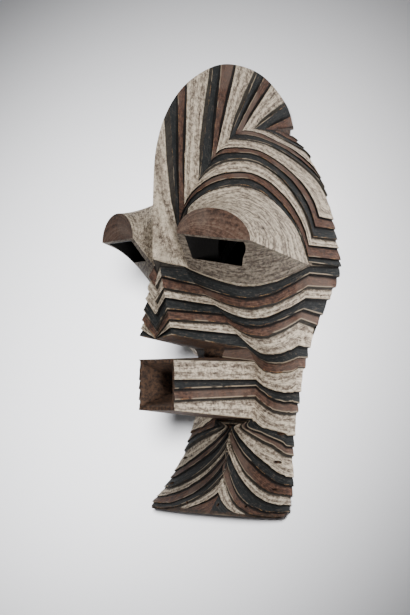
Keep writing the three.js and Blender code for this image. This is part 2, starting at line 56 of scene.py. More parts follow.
# Sizes of the carving, as in the solid
WALL = 13.0
RIM_SLOPE = 0.247
RIM_FOOT = 129.0
CHIN_FLARE = 17.0
CHIN_FLARE_HEIGHT = 60.0
CHIN_SKEW = 0.0935
CHIN_SKEW_HEIGHT = 130.0
TEMPLE_ANGLE = 72.0
PEAK_ANGLE = 40.0
LAST_CORNER = 84.0
NOSE_TIP_WIDTH = 58.0
NOSE_ROOT_WIDTH = 14.0
NOSE_TOP = 307.0
NOSE_BOTTOM = 219.0
NOSE_CHEVRON = 1.1
NOSE_TIP_DROP = 5.0
NOSE_TIP_SHARE = 0.9
NOSE_ROOT_PLACE = 9.9
NOSE_WALL = 19.0
NOSE_FRONT_WALL = 26.0
NOSE_ROOM_FRONT_HEIGHT = 30.0
NOSE_ROOM_BACK_HEIGHT = 50.0
MOUTH_WIDTH = 64.0
MOUTH_TOP = 190.7
MOUTH_BOTTOM = 129.5
MOUTH_FRONT = 3.0
MOUTH_LIP = 4.0
MOUTH_FUNNEL_DEPTH = 36.0
MOUTH_HOLE_WIDTH = 22.0
MOUTH_HOLE_HEIGHT = 20.0
MOUTH_WALL = 11.0
LIP_RECESS = 84.0
LIP_GROOVE_FLOOR = 194.0
LIP_EDGE_SHARE = 0.6
LIP_EDGE_STEP = 10.0
CHIN_EDGE_SHARE = 1 / 3
CREST_SWELL = 0.8
CREST_TURNS = 3
EYE_INNER = 38.5
EYE_OUTER = 130.0
EYE_VISOR_FRONT = -1.0
EYE_VISOR_SWEEP = 30.0
EYE_SILL = 339.0
EYE_VISOR_HEIGHT = 34.0
EYE_SLOT_HEIGHT = 25.0
EYE_SLOT_SLANT = 33.0
EYE_SLOT_INSET = 9.0
EYE_SLOT_EDGE = 2.0
EYE_SLOT_BACK = 10.0
EYE_SLOT_LEAN = 7.0
EYE_SLOT_TAPER = 50.0
EYE_SLOT_START = -20.0
EYE_SLOT_OUTWARD = Vector((-0.6, 0.8, 0))
EYE_ROOM_BELOW = 40.0
EYE_ROOM_ABOVE = 22.0
EYE_ROOM_DEPTH = 128.0
EYE_WALL = 8.0
EYE_MARGIN = 3.0
EYE_WAIST = 0.3
EYE_ROOT = Vector((-2, 12, 0))
EYE_BED_DEPTH = 1.5
EYE_DROP_RIGHT = 13.0
EYE_DROP_LEFT = -3.0
HOLLOW_REACH = 160.0
HOLLOW_TOP = 440
HOLLOW_MARGIN = 2
HOLLOW_OVERRUN = 4
TIE_HOLE_PLACES = (-48.0, 7.0, 52.0)
TIE_HOLE_HEIGHTS = (33.0, 66.0, 100.0)
TIE_HOLE_INSET = 12.0
TIE_HOLE_SIZE = 4.0
TIE_HOLE_CLEARANCE = 40.0
TIP_NOTCH_DEPTH = 242.0
TIP_NOTCH_WIDTH = 60.0
TIP_NOTCH_LOW = 489.0
TIP_NOTCH_HIGH = 500.5

# Where the standing mask comes to lie: it leans back onto its rim and slides to the middle
LEAN = math.atan(RIM_SLOPE)
LAID_SHIFT = Vector((0.0, -307.810, 125.236))

# Guide lines of the form, as height and value pairs
HALF_WIDTHS = ((0, 114), (9, 119.5), (20, 115), (45, 105.5), (75, 95.5), (105, 90), (160, 87), (200, 90),
               (235, 97.5), (265, 110), (290, 119.5), (307, 120.5), (328, 113), (375, 93), (416, 71),
               (448, 47), (466, 32.5), (483, 12), (503, 5))
INNER_DEPTHS = ((0, 91), (28, 108), (65, 121), (104, 129), (125, 135), (187, 139), (211, 109), (233, 90),
                (257, 70), (277, 49), (303, 27), (313, 21), (346, 22), (371, 28), (394, 41), (424, 67),
                (462, 102), (480, 133), (489, 165), (494, 215))
INNER_OFFSETS = ((0, 0), (106, 0), (115, 28), (120, 36), (187, 34), (211, 44), (233, 38), (257, 32),
                 (277, 25), (303, 18), (460, 17), (483, 11), (503, 4))
HOLLOW_DEPTHS = ((0, 106), (60, 132), (105, 144), (160, 150), (215, 140), (260, 105), (300, 60),
                 (350, 48), (395, 66), (425, 95), (440, 120))
CREST_DEPTHS = tuple(enumerate((252, 237, 196, 149, 103, 52, 18.5, 1, -3.3, -4, -4)))
CREST_HEIGHTS = tuple(enumerate((503, 532, 561, 569.5, 562, 531.5, 491, 444, 394, 345, NOSE_TOP)))

# Band limits above the eye: pigment, place on the crest's edge, valley, peak, turn, temple, rim
CROWN_LIMITS = (
    ("red", 0, 493, 493, 90, 484, 484),
    ("charcoal", 0.48, 491.5, 491.5, 90, 472, 472),
    ("kaolin", 1.0, 489, 489.5, 90, 458, 458),
    ("red", 1.72, 483, 485, 90, 427, 427),
    ("charcoal", 2.05, 476, 478, 90, 414, 414),
    ("kaolin", 2.35, 469, 470.5, 90, 403, 403),
    ("red", 3.17, 447, 457.5, 82, 371, 369),
    ("charcoal", 3.78, 437, 450, 79, 357, 356),
    ("kaolin", 4.1, 413, 441, 77, 343, 342),
    ("red", 4.97, 378, 423, 74, 332, 331),
    ("charcoal", 5.38, 357, 413.5, 72.5, 317, 316),
    ("kaolin", 5.85, 338, 404.5, 72, 309, 307),
)
# Band limits below the eye: pigment, front, foot, low, angle of the low, steepness, temple, rim
FACE_LIMITS = (
    ("charcoal", 304, 303, 278, 35, 1.6, 305, 306),
    ("red", 290, 282, 264, 33, 1.7, 296, 294),
    ("kaolin", 276, 269, 254, 31, 1.9, 280, 281),
    ("charcoal", 264, 257, 240.5, 33, 2.3, 266, 266),
    ("red", 250, 247, 231.5, 30, 2.6, 253, 247),
    ("kaolin", 238, 236, 219.5, 30, 2.5, 241, 234),
    ("charcoal", 228, 222, 198, 30, 3, 209, 206),
    ("red", 205, 205, 187, 34, 3, 194, 194),
    ("kaolin", MOUTH_TOP, 190, 175, 38, 2.8, 181, 181),
    ("charcoal", 166, 167, 151, 50, 2, 152, 152),
    ("red", 155, 159, 139, 56, 2, 139, 138),
    ("kaolin", 142, 146, 126, 60, 2, 126, 127),
    ("charcoal", 117, 118, 98, 71, 1, 98, 98),
    ("red", 114, 116, 86, 71, 1, 86, 85),
    ("kaolin", 111, 114, 76, 71, 1.1, 76, 74),
    ("charcoal", 107, 111, 49, 71, 1.5, 49, 48),
    ("red", 102, 107, 40, 71, 1.9, 40, 39),
    ("kaolin", 89, 99, 28, 71, 2.6, 28, 27),
    ("charcoal", 68, 86, 16.5, 71, 2.8, 16.5, 16),
    ("red", 52, 76, 8, 71, 4, 8, 8),
    ("kaolin", 34, 54, 2.4, 71, 4.2, 2.4, 2.4),
    ("charcoal", 20, 28.5, 1, 71, 5.4, 1, 1),
    ("none", 1, 1, 0, 71, 1, 0, 0),
)
FIRST_LIP_BAND = 7
FIRST_MOUTH_BAND = 8
FIRST_CHIN_BAND = 12

# Directions in which the steps are cut on the middle features: middle line, edge, side
INWARD = {
    "crown": ((0, 0, 0), (-1, 0, 0), (-1, 0, 0)),
    "nose": ((0, 1, 0), (-0.7, 0.7, 0), (-1, 0, 0)),
    "lip": ((0, 0, 0), (0, 0, 0), (0, 0, 0)),
    "mouth": ((0, 0, 0), (-0.7, 0, 0), (-0.7, 0, 0)),
    "chin": ((0, 1, 0), (0, 1, 0), (0, 1, 0)),
}

# Columns of the carved skin, from the middle line outward
FRONT_COLUMNS = 10
SIDE_COLUMNS = 12
HEAD_COLUMNS = 56
RIM_COLUMNS = 6
HALF_COLUMNS = FRONT_COLUMNS + SIDE_COLUMNS + HEAD_COLUMNS + RIM_COLUMNS
EVEN_SPACING = 0.4
RIM_ANGLE = 90
HOLLOW_ROWS = 48
HOLLOW_COLUMNS = 28
# Rows across a band, as shares of its width
PLAIN_SHARES = (0.07, 0.14, 0.28, 0.46, 0.64, 0.82, 0.94, 1.0)
FLUTED_SHARES = (0.07, 0.13, 0.21, 0.29, 0.37, 0.45, 0.5, 0.55, 0.63, 0.72, 0.81, 0.89, 0.95, 1.0)
FLUTES = ((0.08, 0.5), (0.5, 0.95))
BED_ROWS = 20
BED_SHARES = tuple(0.07 + 0.93 * i / BED_ROWS for i in range(BED_ROWS + 1))
EYE_FACETS = 36
EYE_STATIONS = 16
LENS_START = 5.0
TIE_HOLE_FACETS = 12
# The spine behind the skin is closed to one line within this gap
SPINE_MERGE = 0.001

# How the lines stray, as step along the columns and size; none stray at the middle line
STRAYS = ((0.07, 0.7), (0.22, 0.5), (0.9, 0.2))
CALM_COLUMNS = 12
BASE_TRIM = 0.8
NOSE_RELIEF = 1.4
RELIEF_FALL = 1.3
# Uneven carving: steps for each millimetre along a band, and what tells bands and sides apart
FLUTE_GRAIN = (0.03, 1.0, 1.0)
CHIP_GRAIN = (0.11, 3.7, 5.1)
NICK_GRAIN = (0.31, 2.3, 7.7)
KNIFE_GRAIN = (0.045, 5.3, 9.7)
CHIP_START = 0.8
CHIP_LEVEL = 0.12
NICK_LEVEL = 0.2
NICK_SHARE = 0.6
KNIFE_DEPTH = 0.4

# Which paint lies where, as shares of red, charcoal and clay
BARE_EDGE = 5.0
PALE_NOSE_BANDS = 2
RED_NOSE_BAND = 4
RED_NOSE_START = 0.4
BAND_OFFSET = 0.37
FAR_REACH = 0.02
LID_STREAK_STEP = 0.003
LID_SHARES = (0.4, 0.42)
# The lower lid: worn grey-brown clay, darkened with charcoal partly as painted shade under the visor
LOWER_LID_SHADED = (0.1, 0.65, 0.3, 1.0)
VISOR = (0.9, 0.0, 0.04, 1.0)
PIGMENT_COLORS = {
    "red": (1.0, 0.0, 0.0, 1.0),
    "charcoal": (0.0, 1.0, 0.0, 1.0),
    "kaolin": (0.0, 0.0, 1.0, 1.0),
    "none": (0.0, 0.0, 0.0, 1.0),
    "bare": (0.0, 0.45, 0.0, 1.0),
}

# Spots of each pattern in a metre: streaks 14 mm long and 2 mm wide, patches of 4 mm, a speckle of
# 1.6 mm, as coarse as the picture can show, and a slow change over 6 cm
STREAKS_ALONG = 70.0
STREAKS_ACROSS = 480.0
PATCHES = 250.0
SPECKLES = 620.0
DRIFTS = 16.0
SHARP_ANGLE = 32.0

CAMERA_AZIMUTH = 45.0
CAMERA_ELEVATION = -3.3
CAMERA_DISTANCE = 1800.0
CAMERA_TARGET = Vector((0, 85, 256))
SENSOR = 36.0
CAMERA_LENS = 84.9
MASK_ONLY = "lit by the mask's lamps"
PAPER_ONLY = "lit by the floor lamp"
# Lamps of the mask: power in watts, cone in degrees, radius in metres, and place from the mask's
# middle in metres to the camera's right, up and toward it
CAMERA_LAMPS = {
    "key": (115.0, 30.0, 0.22, (1.15, 1.6, 1.4)),
    "side light": (165.0, 30.0, 0.3, (0.7, -0.6, 2.2)),
    "top light": (100.0, 30.0, 0.2, (-0.6, 1.7, 1.6)),
    "fill": (15.0, 30.0, 0.4, (0.0, 0.0, 2.4)),
}
# The same for the two behind and below the mask, with their places along the floor's axes
FLOOR_LAMPS = {
    "back light": (120.0, 30.0, 0.4, (-1.6, 1.6, 0.8)),
    "foot light": (60.0, 30.0, 0.4, (-0.6, -2.2, 0.5)),
}
# The lamp of the paper stands by the camera
GLOW = (860.0, 32.0, 0.25)
GLOW_PLACE = (-0.25, 0.35, 0.0)
GLOW_AIM = Vector((-0.325, -0.043, 0.0))
WORLD_STRENGTH = 0.1
WORLD_COLOR = "#F2F4F8"
FLOOR_REACH = 6.0
FLOOR_GAP = 0.0005
# Black felt under the hollow: painted shade where the inside of the mask is dark
FELT_FACETS = 48
FELT_REACH = (0.1, 0.12, 1.0)
FELT_PLACE = (0.0, 0.0, -0.0002)
SHADE_FELT_COLOR = "#0C0C0C"


class MaskSettings(bpy.types.PropertyGroup):
    """Sizes and colours that a user would change"""

    lip_relief: bpy.props.FloatProperty(
        name="Lip height", description="Height of the lip along each carved band",
        default=3.4 * MM, unit="LENGTH")
    flute_depth: bpy.props.FloatProperty(
        name="Flute depth", description="Depth of the fine grooves along the white bands",
        default=1.1 * MM, unit="LENGTH")
    hand_wobble: bpy.props.FloatProperty(
        name="Hand wobble", description="How far a carved line strays from its guide",
        default=1.5 * MM, unit="LENGTH")
    chip_depth: bpy.props.FloatProperty(
        name="Chip depth", description="How deep the lips are chipped and worn",
        default=2.6 * MM, unit="LENGTH")
    kaolin: bpy.props.StringProperty(
        name="Kaolin", description="Colour of the white clay paint", default="#D8C9B2")
    red_ochre: bpy.props.StringProperty(
        name="Red ochre", description="Colour of the red earth paint", default="#5F4336")
    charcoal: bpy.props.StringProperty(
        name="Charcoal", description="Colour of the charcoal paint", default="#2B2D2D")
    wood: bpy.props.StringProperty(
        name="Bare wood", description="Colour of the worn wood", default="#604838")
    floor: bpy.props.StringProperty(
        name="Floor", description="Colour of the studio floor", default="#EDEDF0")


def linear(hex_color):
    """Linear colour of an sRGB hex value"""
    parts = [int(hex_color[i:i + 2], 16) / 255 for i in (1, 3, 5)]
    return tuple(p / 12.92 if p <= 0.04045 else ((p + 0.055) / 1.055) ** 2.4 for p in parts) + (1.0,)


def through(pairs, place):
    """Smooth curve through pairs of place and value"""
    last = len(pairs) - 1
    if place <= pairs[0][0]:
        return pairs[0][1]
    if place >= pairs[last][0]:
        return pairs[last][1]
    i = 0
    while place > pairs[i + 1][0]:
        i += 1

    def slope(k):
        low = pairs[max(k - 1, 0)]
        high = pairs[min(k + 1, last)]
        return (high[1] - low[1]) / (high[0] - low[0])

    span = pairs[i + 1][0] - pairs[i][0]
    t = (place - pairs[i][0]) / span
    start = (1 + 2 * t) * (1 - t) ** 2 * pairs[i][1] + t * (1 - t) ** 2 * span * slope(i)
    return start + t * t * (3 - 2 * t) * pairs[i + 1][1] + t * t * (t - 1) * span * slope(i + 1)


def mix(low, high, share):
    return low + (high - low) * share


def crest_point(place):
    return Vector((0, through(CREST_DEPTHS, place), through(CREST_HEIGHTS, place)))


def rim_depth(height):
    """Depth of the back rim: a plane to lie on, left only by the flaring chin"""
    lift = max(0.0, 1 - height / CHIN_FLARE_HEIGHT)
    return RIM_FOOT + RIM_SLOPE * height - CHIN_FLARE * lift * lift


def skewed(x, height):
    """Place across the face, with the chin's two sides made unequal"""
    return x - abs(x) * CHIN_SKEW * max(0.0, 1 - height / CHIN_SKEW_HEIGHT)


def head_point(degrees, height):
    """Point of the head's form, by the angle round it from the middle features to the rim"""
    angle = math.radians(degrees)
    inner = through(INNER_OFFSETS, height)
    rim = rim_depth(height)
    depth = min(through(INNER_DEPTHS, height), rim - 1)
    x = inner + (through(HALF_WIDTHS, height) - inner) * math.sin(angle)
    return Vector((x, depth + (rim - depth) * (1 - math.cos(angle)), height))


def crown_height(limit, degrees):
    """Height of a band limit above the eye at an angle round the head"""
    _, _, valley, peak, turn, temple, rim = limit
    if degrees >= turn:
        return mix(temple, rim, (degrees - turn) / (RIM_ANGLE + 0.001 - turn))
    if degrees < PEAK_ANGLE:
        return valley + (peak - valley) * math.sqrt(1 - (1 - degrees / PEAK_ANGLE) ** 2)
    share = (degrees - PEAK_ANGLE) / (turn - PEAK_ANGLE)
    return temple + (peak - temple) * math.sqrt(max(0.0, 1 - share * share))


def face_height(limit, degrees):
    """Height of a band limit below the eye at an angle round the head"""
    _, _, foot, low, low_angle, steep, temple, rim = limit
    if degrees >= TEMPLE_ANGLE:
        return mix(temple, rim, (degrees - TEMPLE_ANGLE) / (RIM_ANGLE - TEMPLE_ANGLE))
    if degrees < low_angle:
        return low + (foot - low) * (1 - degrees / low_angle) ** steep
    share = (degrees - low_angle) / (TEMPLE_ANGLE - low_angle)
    return low + (temple - low) * share * share


def between(start, end, share):
    """Limit at a share of the way from one listed limit to the next"""
    return (start[0],) + tuple(mix(a, b, share) for a, b in zip(start[1:], end[1:]))


def column_angle(column, turn):
    """Angle round the head of a column, counted from the foot of the middle features"""
    corner = min(turn, LAST_CORNER)
    if column <= HEAD_COLUMNS:
        share = column / HEAD_COLUMNS
        eased = (1 - math.cos(math.pi * share)) / 2
        return corner * mix(eased, share, EVEN_SPACING)
    return corner + (RIM_ANGLE - corner) * (column - HEAD_COLUMNS) / RIM_COLUMNS


def nose_half_width(height):
    share = (NOSE_TOP - height) / (NOSE_TOP - NOSE_BOTTOM)
    return mix(NOSE_ROOT_WIDTH, NOSE_TIP_WIDTH, share) / 2


def feature_front(feature, front, foot):
    """Middle line and edge of a band limit on the middle feature that carries it"""
    if feature == "nose":
        half = nose_half_width(front)
        room = NOSE_TIP_SHARE * (front - NOSE_BOTTOM + NOSE_TIP_DROP)
        return Vector((0, 0, front - min(NOSE_CHEVRON * half, room))), Vector((half, 0, front))
    if feature == "lip":
        edge = Vector((foot.x * LIP_EDGE_SHARE, LIP_RECESS + LIP_EDGE_STEP, front))
        return Vector((0, LIP_RECESS, front)), edge
    if feature == "mouth":
        return Vector((0, MOUTH_FRONT, front)), Vector((MOUTH_WIDTH / 2, MOUTH_FRONT, front))
    start = Vector((0, foot.y, foot.z))
    return start, start.lerp(foot, CHIN_EDGE_SHARE)


def row_points(limit, feature, stray):
    """Points of a row of the skin from the middle line to the rim, and where it is sunk to"""
    turn = limit[4] if feature == "crown" else TEMPLE_ANGLE
    height = crown_height if feature == "crown" else face_height
    head = []
    for column in range(HEAD_COLUMNS + RIM_COLUMNS + 1):
        degrees = column_angle(column, turn)
        head.append(head_point(degrees, max(0.0, height(limit, degrees) + stray(column))))
    foot = head[0]
    points = []
    ways = []
    listed = [Vector(way) for way in INWARD[feature]]
    core = (Vector((0, rim_depth(foot.z), foot.z)) - foot).normalized()
    if feature == "crown":
        middle = edge = crest_point(limit[1])
    else:
        middle, edge = feature_front(feature, limit[1], foot)
    for column in range(FRONT_COLUMNS + SIDE_COLUMNS):
        if feature == "crown":
            share = column / (FRONT_COLUMNS + SIDE_COLUMNS)
            point = middle.lerp(foot, share)
            point.x = foot.x * share ** CREST_SWELL
            points.append(point)
            outer = listed[0].lerp(listed[1], min(1.0, share * CREST_TURNS))
            ways.append(outer.lerp(core, max(0.0, share * CREST_TURNS - CREST_TURNS + 1)))
        elif column < FRONT_COLUMNS:
            share = column / FRONT_COLUMNS
            points.append(middle.lerp(edge, share))
            ways.append(listed[0].lerp(listed[1], share))
        else:
            share = (column - FRONT_COLUMNS) / SIDE_COLUMNS
            points.append(edge.lerp(foot, share))
            if share < 0.5:
                ways.append(listed[1].lerp(listed[2], share * 2))
            else:
                ways.append(listed[2].lerp(core, share * 2 - 1))
    for point in head:
        points.append(point)
        ways.append((Vector((0, rim_depth(point.z), point.z)) - point).normalized())
    return points, ways


def band_feature(band):
    if band < FIRST_LIP_BAND:
        return "nose"
    if band < FIRST_MOUTH_BAND:
        return "lip"
    return "mouth" if band < FIRST_CHIN_BAND else "chin"


def band_rows():
    """Every row of the skin: its limit, feature, pigment, share of its band and band number"""
    rows = []
    for band in range(len(CROWN_LIMITS) - 1):
        limit, following = CROWN_LIMITS[band], CROWN_LIMITS[band + 1]
        shares = FLUTED_SHARES if limit[0] == "kaolin" else PLAIN_SHARES
        for share in ((0.0,) if band == 0 else ()) + shares:
            rows.append((between(limit, following, share), "crown", limit[0], share, band))
    for share in BED_SHARES:
        rows.append((share, "bed", "kaolin", share, len(CROWN_LIMITS) - 1))
    for band in range(len(FACE_LIMITS) - 1):
        limit, following = FACE_LIMITS[band], list(FACE_LIMITS[band + 1])
        feature = band_feature(band)
        if band == FIRST_LIP_BAND - 1:
            following[1] = NOSE_BOTTOM
        if band == FIRST_LIP_BAND:
            following[1] = LIP_GROOVE_FLOOR
        if band == FIRST_CHIN_BAND - 1:
            following[1] = MOUTH_BOTTOM
        shares = FLUTED_SHARES if limit[0] == "kaolin" else PLAIN_SHARES
        if band and band_feature(band - 1) != feature:
            shares = (0.0,) + shares
        number = len(CROWN_LIMITS) + band
        for share in shares:
            rows.append((between(limit, following, share), feature, limit[0], share, number))
    return rows


def bed_points(share, stray):
    """Row of the bed between the bands above and below the eye"""
    upper, ways = row_points(CROWN_LIMITS[-1], "crown", stray)
    lower, _ = row_points(FACE_LIMITS[0], "nose", stray)
    columns = FRONT_COLUMNS + SIDE_COLUMNS
    place = mix(CROWN_LIMITS[-1][1], NOSE_ROOT_PLACE, share)
    head = [upper[i].lerp(lower[i], share) for i in range(columns, len(upper))]
    edge = crest_point(place)
    front = []
    for column in range(columns):
        along = column / columns
        point = edge.lerp(head[0], along)
        point.x = head[0].x * along ** CREST_SWELL
        front.append(point)
    return front + head, ways


def uneven(grain, along, band, side, shift=0.0):
    """Noise along a band"""
    step, band_seed, side_seed = grain
    return noise.noise(Vector((along * step, shift + band * band_seed, side * side_seed)))


def band_depth(settings, pigment, share, along, side, band):
    """How deep the skin lies under its lip at a place across and along a band"""
    nose = len(CROWN_LIMITS) <= band < len(CROWN_LIMITS) + FIRST_LIP_BAND
    relief = settings.lip_relief / MM * (NOSE_RELIEF if nose else 1.0)
    depth = relief * (1 - share) ** RELIEF_FALL if share > 0 else 0.0
    if pigment == "kaolin":
        for start, end in FLUTES:
            if start < share < end:
                strength = 0.75 + 0.5 * uneven(FLUTE_GRAIN, along, band, side)
                groove = math.sin(math.pi * (share - start) / (end - start))
                depth += settings.flute_depth / MM * strength * groove
    if share > CHIP_START:
        chip = max(0.0, uneven(CHIP_GRAIN, along, band, side) - CHIP_LEVEL)
        nick = max(0.0, uneven(NICK_GRAIN, along, band, side) - NICK_LEVEL)
        worn = chip + NICK_SHARE * nick
        depth += settings.chip_depth / MM * worn * (share - CHIP_START) / (1 - CHIP_START)
    if share > 0:
        depth += KNIFE_DEPTH * (1 + uneven(KNIFE_GRAIN, along, band, side, share * 2))
    return depth


def laid(point):
    """A standing point in millimetres, laid on the floor in metres"""
    turned = Matrix.Rotation(-(math.pi / 2 - LEAN), 3, "X") @ point
    return (turned + LAID_SHIFT) * MM


def solid_from_grid(rows, columns, places):
    """A grid of points from rim to rim, closed through the middle plane behind it"""
    bm = bmesh.new()
    bmesh.ops.create_grid(bm, x_segments=columns, y_segments=rows, size=0.5)
    bm.verts.ensure_lookup_table()
    stride = columns + 1
    for vert in bm.verts:
        vert.co = places[divmod(vert.index, stride)]
    rims = []
    for column in (0, columns):
        for r in range(rows):
            pair = (bm.verts[r * stride + column], bm.verts[(r + 1) * stride + column])
            rims.append(bm.edges.get(pair))
    carved = list(bm.faces)
    back = bmesh.ops.extrude_edge_only(bm, edges=rims)
    spine = [item for item in back["geom"] if isinstance(item, bmesh.types.BMVert)]
    for vert in spine:
        vert.co.x = 0
    bmesh.ops.remove_doubles(bm, verts=spine, dist=SPINE_MERGE)
    bmesh.ops.holes_fill(bm, edges=[e for e in bm.edges if e.is_boundary], sides=0)
    return bm, carved


def paint_layers(bm):
    return bm.loops.layers.float_color.new("pigment"), bm.loops.layers.float_color.new("carving")


def strayed(settings, column, band, share, side):
    """How far a carved line strays from its guide, in millimetres"""
    calm = min(1.0, column / CALM_COLUMNS)
    swings = []
    for number in (band, band + 1):
        spots = [(size, Vector((column * step, number * 7.1, side * 3.3 + step))) for step, size in STRAYS]
        swings.append(sum(size * noise.noise(spot) for size, spot in spots))
    return calm * settings.hand_wobble / MM * mix(swings[0], swings[1], share)


def skin_places(settings, rows):
    """Places of the skin's points by row and column, with each one's distance along its row"""
    places = {}
    lengths = {}
    for r, (limit, feature, pigment, share, band) in enumerate(rows):
        for side in (-1, 1):
            def stray(column, band=band, share=share, side=side):
                return strayed(settings, column, band, share, side)
            if feature == "bed":
                points, ways = bed_points(limit, stray)
            else:
                points, ways = row_points(limit, feature, stray)
            along = 0.0
            for i, point in enumerate(points):
                if i:
                    along += (point - points[i - 1]).length
                if feature == "bed":
                    depth = settings.lip_relief / MM + EYE_BED_DEPTH
                else:
                    depth = band_depth(settings, pigment, share, along, side, band)
                placed = point + ways[i] * depth
                spot = (r, HALF_COLUMNS + side * i)
                x = skewed(side * placed.x, placed.z)
                places[spot] = Vector((x, placed.y, max(placed.z, BASE_TRIM)))
                lengths[spot] = along
    return places, lengths


def reaches_over(rows, places, columns):
    """Distance of each point from the start of its band and, the other way, from its lip"""
    order = list(range(len(rows)))
    found = []
    for steps in (order, order[::-1]):
        reach = {}
        for before, r in zip([None] + steps, steps):
            for column in range(columns + 1):
                spot = (r, column)
                if before is None or rows[before][4] != rows[r][4]:
                    reach[spot] = 0.0
                else:
                    reach[spot] = reach[(before, column)] + (places[spot] - places[(before, column)]).length
        found.append(reach)
    return found


def face_pigment(row, spots, middle):
    """Paint of a face of the skin"""
    _, feature, pigment, share, band = row
    inner = min(abs(spot[1] - HALF_COLUMNS) for spot in spots)
    left = min(spot[1] for spot in spots) < HALF_COLUMNS
    number = band - len(CROWN_LIMITS)
    if number >= FIRST_CHIN_BAND and left:
        pigment = {"red": "charcoal", "charcoal": "red"}.get(pigment, pigment)
    if middle.z < BARE_EDGE * (1 + 0.5 * noise.noise(middle * 0.05)):
        return "bare"
    # Faces where one feature steps to the next are left dark bare wood: painted shade under the lip
    if share == 0.0 or (feature in ("mouth", "lip") and inner < FRONT_COLUMNS):
        return "none"
    if feature == "nose" and inner < FRONT_COLUMNS:
        if number < PALE_NOSE_BANDS:
            return "red" if number == 0 and left else "kaolin"
        if number == RED_NOSE_BAND and share < RED_NOSE_START:
            return "kaolin"
    if number == 0 and share == PLAIN_SHARES[0] and inner < FRONT_COLUMNS + SIDE_COLUMNS:
        return "kaolin"
    return pigment


def carved_skin(settings):
    """The banded skin as a closed solid, with its paint as attributes"""
    rows = band_rows()
    columns = 2 * HALF_COLUMNS
    places, lengths = skin_places(settings, rows)
    starts, lips = reaches_over(rows, places, columns)
    bm, carved = solid_from_grid(len(rows) - 1, columns, places)
    bm.verts.index_update()
    pigment_layer, carving_layer = paint_layers(bm)
    for face in bm.faces:
        for loop in face.loops:
            loop[pigment_layer] = PIGMENT_COLORS["bare"]
            loop[carving_layer] = (0.0, 0.5, FAR_REACH, FAR_REACH)
    stride = columns + 1
    for face in carved:
        spots = [divmod(loop.vert.index, stride) for loop in face.loops]
        low_row = max(spot[0] for spot in spots)
        share, band = rows[low_row][3:]
        pigment = face_pigment(rows[low_row], spots, face.calc_center_median())
        for loop, spot in zip(face.loops, spots):
            inside = rows[spot[0]][4] == band
            row_share = rows[spot[0]][3] if inside else 0.0
            start = starts[spot] if inside else 0.0
            lip = lips[spot] if inside else lips[(low_row, spot[1])]
            loop[pigment_layer] = PIGMENT_COLORS[pigment]
            loop[carving_layer] = (lengths[spot] * MM + band * BAND_OFFSET, row_share, lip * MM, start * MM)
    return bm


def loft(rings, paint=None):
    """Closed solid through rings of as many points; paint gives a pigment for a face's place in it"""
    bm = bmesh.new()
    station = bm.verts.layers.int.new("station")
    around = bm.verts.layers.int.new("around")
    loops = []
    for s, ring in enumerate(rings):
        verts = []
        for i, point in enumerate(ring):
            vert = bm.verts.new(point)
            vert[station] = s
            vert[around] = i
            verts.append(vert)
        loops.append([bm.edges.new((verts[i], verts[(i + 1) % len(verts)])) for i in range(len(verts))])
    for first, second in zip(loops, loops[1:]):
        bmesh.ops.bridge_loops(bm, edges=first + second)
    bmesh.ops.holes_fill(bm, edges=loops[0], sides=0)
    bmesh.ops.holes_fill(bm, edges=loops[-1], sides=0)
    bmesh.ops.recalc_face_normals(bm, faces=bm.faces)
    if paint:
        pigment_layer, carving_layer = paint_layers(bm)
        last = len(rings) - 1
        for face in bm.faces:
            pigment, start = paint({v[station] for v in face.verts}, {v[around] for v in face.verts})
            for loop in face.loops:
                loop[pigment_layer] = pigment
                length = loop.vert[around] * LID_STREAK_STEP
                share = mix(*LID_SHARES, loop.vert[station] / last)
                reach = start + loop.vert[station] * LID_STREAK_STEP if start else 0.0
                loop[carving_layer] = (length, share, FAR_REACH, reach)
    return bm


def rectangle(left, right, low, high, depth):
    return [Vector((left, depth, low)), Vector((right, depth, low)),
            Vector((right, depth, high)), Vector((left, depth, high))]


def hollow():
    """The bowl behind the face, which keeps the wall's thickness"""
    places = {}
    for r in range(HOLLOW_ROWS + 1):
        height = mix(HOLLOW_TOP, WALL, r / HOLLOW_ROWS)
        back = rim_depth(height)
        front = min(through(HOLLOW_DEPTHS, height), back - HOLLOW_MARGIN)
        half = through(HALF_WIDTHS, height) - WALL
        for k in range(HOLLOW_COLUMNS + 2):
            angle = math.pi / 2 * min(k, HOLLOW_COLUMNS) / HOLLOW_COLUMNS
            overrun = HOLLOW_OVERRUN if k > HOLLOW_COLUMNS else 0
            depth = front + (back - front) * (1 - math.cos(angle)) + overrun
            for side in (-1, 1):
                x = skewed(side * half * math.sin(angle), height)
                places[(r, HOLLOW_COLUMNS + 1 + side * k)] = Vector((x, depth, height))
    bm, _ = solid_from_grid(HOLLOW_ROWS, 2 * (HOLLOW_COLUMNS + 1), places)
    return bm


def sill_point(x, drop):
    """Place of a visor's straight lower edge, across the face"""
    share = (x - EYE_INNER) / (EYE_OUTER - EYE_INNER)
    return Vector((x, EYE_VISOR_FRONT + EYE_VISOR_SWEEP * share, EYE_SILL - drop * share))


